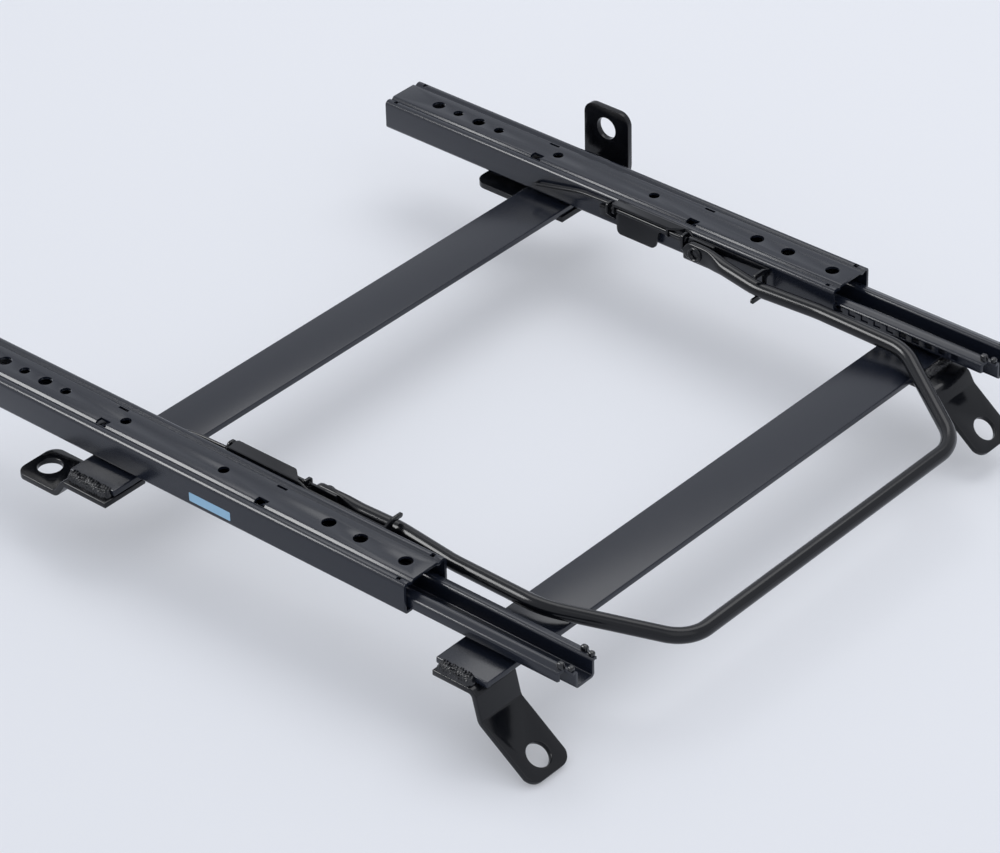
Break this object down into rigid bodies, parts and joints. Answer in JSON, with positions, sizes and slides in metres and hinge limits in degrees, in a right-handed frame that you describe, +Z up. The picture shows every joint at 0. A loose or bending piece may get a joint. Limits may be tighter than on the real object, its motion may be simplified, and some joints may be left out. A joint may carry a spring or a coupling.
{
  "type": "seat rail",
  "caption": "Sliding seat rail pair on two crossbars, with floor brackets and a front release handle that frees both latches.",
  "frame": {"origin": "middle of the part's outline in plan, at the height of its lowest point, the tip of the front right tab", "axes": "+X towards the front of the seat, along the rails; +Y to the seat's left; +Z up, out of the seat faces"},
  "size_m": [0.5247, 0.5, 0.0967],
  "materials": {
    "charcoal_paint": "semi-gloss charcoal coat",
    "black_paint": "gloss black coat",
    "bare_steel": "bare rolled steel, oiled"
  },
  "bodies": {
    "base": {"lower_rail_right": "charcoal_paint", "lower_rail_left": "charcoal_paint", "crossbar_front": "charcoal_paint", "crossbar_rear": "charcoal_paint", "bracket_front_right": "black_paint", "bracket_front_left": "black_paint", "bracket_rear_right": "black_paint", "bracket_rear_left": "black_paint", "weld_front_right": "black_paint", "weld_front_left": "black_paint", "weld_rear_right": "black_paint", "weld_rear_left": "black_paint"},
    "seat_slide_right": {"upper_rail_right": "charcoal_paint", "lever_bracket_right": "black_paint", "pivot_bracket_right": "black_paint", "pivot_stud_right": "black_paint", "return_spring_right": "black_paint"},
    "seat_slide_left": {"upper_rail_left": "charcoal_paint", "lever_bracket_left": "black_paint", "pivot_bracket_left": "black_paint", "pivot_stud_left": "black_paint", "return_spring_left": "black_paint"},
    "carriage_right": {"ball_cage_right_inner": "bare_steel", "ball_cage_right_outer": "bare_steel", "roller_retainer_right": "bare_steel"},
    "roller_right_rear": {"roller_right_rear": "bare_steel"},
    "roller_right_front": {"roller_right_front": "bare_steel"},
    "carriage_left": {"ball_cage_left_inner": "bare_steel", "ball_cage_left_outer": "bare_steel", "roller_retainer_left": "bare_steel"},
    "roller_left_rear": {"roller_left_rear": "bare_steel"},
    "roller_left_front": {"roller_left_front": "bare_steel"},
    "latch_pin_right": {"lever_pin_right": "black_paint"},
    "latch_right": {"lock_lever_right": "black_paint"},
    "latch_pin_left": {"lever_pin_left": "black_paint"},
    "latch_left": {"lock_lever_left": "black_paint"},
    "handle": {"release_handle": "black_paint"}
  },
  "joints": [
    {"name": "slide_right", "type": "slide", "parent": "base", "child": "seat_slide_right", "axis": [1, 0, 0], "range_m": [0, 0.24]},
    {"name": "slide_left", "type": "slide", "parent": "base", "child": "seat_slide_left", "axis": [1, 0, 0], "range_m": [0, 0.24]},
    {"name": "carriage_slide_right", "type": "slide", "parent": "base", "child": "carriage_right", "axis": [1, 0, 0], "range_m": [0, 0.12]},
    {"name": "roller_turn_right_rear", "type": "hinge", "parent": "carriage_right", "child": "roller_right_rear", "pos_m": [-0.1104, -0.207, 0.06756], "axis": [0, 1, 0], "range_deg": [0, 724.2]},
    {"name": "roller_turn_right_front", "type": "hinge", "parent": "carriage_right", "child": "roller_right_front", "pos_m": [0.0836, -0.207, 0.06756], "axis": [0, 1, 0], "range_deg": [0, 724.2]},
    {"name": "carriage_slide_left", "type": "slide", "parent": "base", "child": "carriage_left", "axis": [1, 0, 0], "range_m": [0, 0.12]},
    {"name": "roller_turn_left_rear", "type": "hinge", "parent": "carriage_left", "child": "roller_left_rear", "pos_m": [-0.1104, 0.201, 0.06756], "axis": [0, 1, 0], "range_deg": [0, 724.2]},
    {"name": "roller_turn_left_front", "type": "hinge", "parent": "carriage_left", "child": "roller_left_front", "pos_m": [0.0836, 0.201, 0.06756], "axis": [0, 1, 0], "range_deg": [0, 724.2]},
    {"name": "handle_lift", "type": "hinge", "parent": "seat_slide_right", "child": "handle", "pos_m": [0.0176, -0.003, 0.07116], "axis": [0, -1, 0], "range_deg": [0, 3], "stiffness_Nm_per_rad": 3, "springref_deg": -22.92},
    {"name": "latch_engage_right", "type": "hinge", "parent": "seat_slide_right", "child": "latch_pin_right", "pos_m": [-0.0554, -0.182, 0.07566], "axis": [1, 0, 0], "range_deg": [-8, 0]},
    {"name": "latch_release_right", "type": "hinge", "parent": "latch_pin_right", "child": "latch_right", "pos_m": [-0.0554, -0.182, 0.07566], "axis": [1, 0, 0], "range_deg": [0, 10]},
    {"name": "latch_engage_left", "type": "hinge", "parent": "seat_slide_left", "child": "latch_pin_left", "pos_m": [-0.0554, 0.176, 0.07566], "axis": [-1, 0, 0], "range_deg": [-8, 0]},
    {"name": "latch_release_left", "type": "hinge", "parent": "latch_pin_left", "child": "latch_left", "pos_m": [-0.0554, 0.176, 0.07566], "axis": [-1, 0, 0], "range_deg": [0, 10]}
  ],
  "couplings": [
    {"joint": "slide_left", "follows": "slide_right", "ratio": 1},
    {"joint": "carriage_slide_right", "follows": "slide_right", "ratio": 0.5},
    {"joint": "roller_turn_right_rear", "follows": "slide_right", "rad_per_m": 52.632},
    {"joint": "roller_turn_right_front", "follows": "slide_right", "rad_per_m": 52.632},
    {"joint": "carriage_slide_left", "follows": "slide_right", "ratio": 0.5},
    {"joint": "roller_turn_left_rear", "follows": "slide_right", "rad_per_m": 52.632},
    {"joint": "roller_turn_left_front", "follows": "slide_right", "rad_per_m": 52.632},
    {"joint": "latch_release_right", "follows": "handle_lift", "ratio": 3.3333},
    {"joint": "latch_release_left", "follows": "handle_lift", "ratio": 3.3333}
  ]
}
